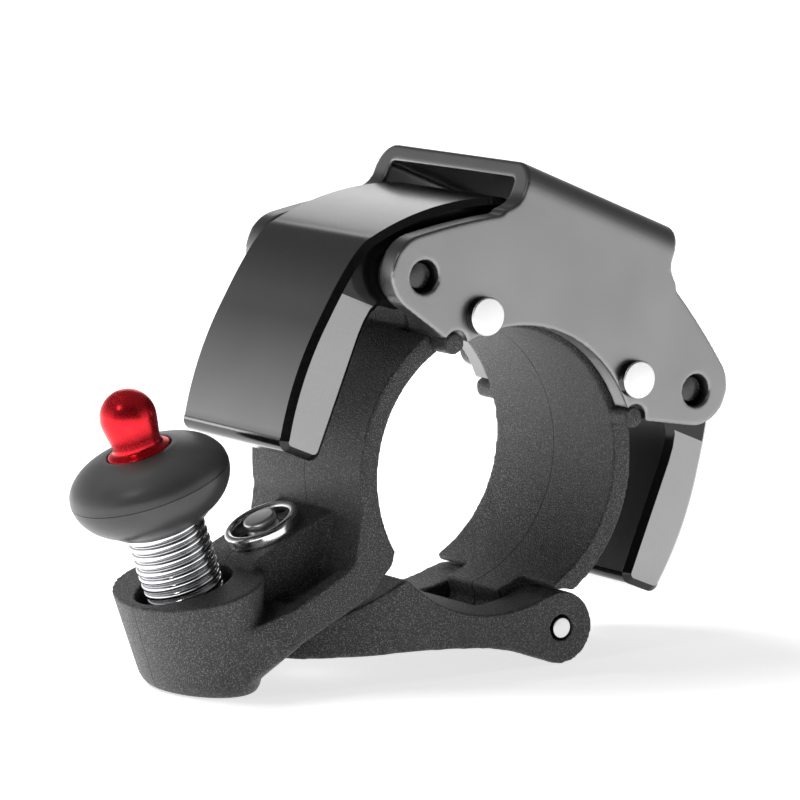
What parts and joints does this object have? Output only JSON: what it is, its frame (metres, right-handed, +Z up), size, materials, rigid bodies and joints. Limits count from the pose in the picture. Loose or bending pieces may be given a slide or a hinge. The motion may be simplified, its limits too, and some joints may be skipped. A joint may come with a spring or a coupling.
{
  "type": "bicycle bell",
  "caption": "Bicycle bell with a glossy bar bent over a hinged handlebar clamp, a folded saddle bracket and a sprung thumb striker with a red knob.",
  "frame": {"origin": "on the handlebar's axis, midway between the two side plates", "axes": "+Y along the handlebar to the rear, +Z up, +X away from the striker"},
  "size_m": [0.078, 0.0334, 0.0578],
  "materials": {
    "bracket_paint": "satin",
    "bell_gloss": "gloss",
    "clamp_plastic": "fine moulded grain",
    "bright_pin": "satin",
    "dark_pin": "blackened",
    "bush_rubber": "matte",
    "bolt_steel": "turned",
    "chrome_parts": "polished",
    "disc_black": "satin",
    "knob_red": "red anodised"
  },
  "bodies": {
    "frame": {"saddle_bracket": "bracket_paint", "bell_strip": "bell_gloss", "strip_pin_left": "dark_pin", "strip_pin_right": "dark_pin", "strip_bush_left_front": "bush_rubber", "strip_bush_left_rear": "bush_rubber", "strip_bush_right_front": "bush_rubber", "strip_bush_right_rear": "bush_rubber", "clamp_pin_left": "bright_pin", "clamp_pin_right": "bright_pin", "clamp_jaw": "clamp_plastic", "hinge_pin": "bright_pin"},
    "arm": {"clamp_arm": "clamp_plastic", "clamp_nut": "chrome_parts", "spring_anchor": "bolt_steel", "anchor_screw": "bolt_steel"},
    "link": {"hinge_link": "clamp_plastic", "bolt_washer": "bolt_steel"},
    "bolt": {"clamp_bolt": "bolt_steel"},
    "striker": {"striker_spring": "chrome_parts", "striker_hub": "bolt_steel", "finger_disc_lower": "disc_black", "finger_disc_upper": "disc_black", "striker_knob": "knob_red"}
  },
  "joints": [
    {"name": "clamp_open", "type": "hinge", "parent": "frame", "child": "arm", "pos_m": [-0.00465, 0, 0.01794], "axis": [0, 1, 0], "range_deg": [0, 14]},
    {"name": "link_swing", "type": "hinge", "parent": "frame", "child": "link", "pos_m": [0.00865, 0, -0.01915], "axis": [0, -1, 0], "range_deg": [0, 70]},
    {"name": "bolt_turn", "type": "hinge", "parent": "link", "child": "bolt", "pos_m": [-0.02417, 0, -0.00527], "axis": [-0.4321, 0, 0.9018], "continuous": true},
    {"name": "striker_sway", "type": "hinge", "parent": "arm", "child": "striker", "pos_m": [-0.03329, 0, -0.01395], "axis": [0, 1, 0], "range_deg": [-12, 4], "stiffness_Nm_per_rad": 0.05}
  ],
  "couplings": [
    {"joint": "link_swing", "follows": "clamp_open", "ratio": 5}
  ]
}
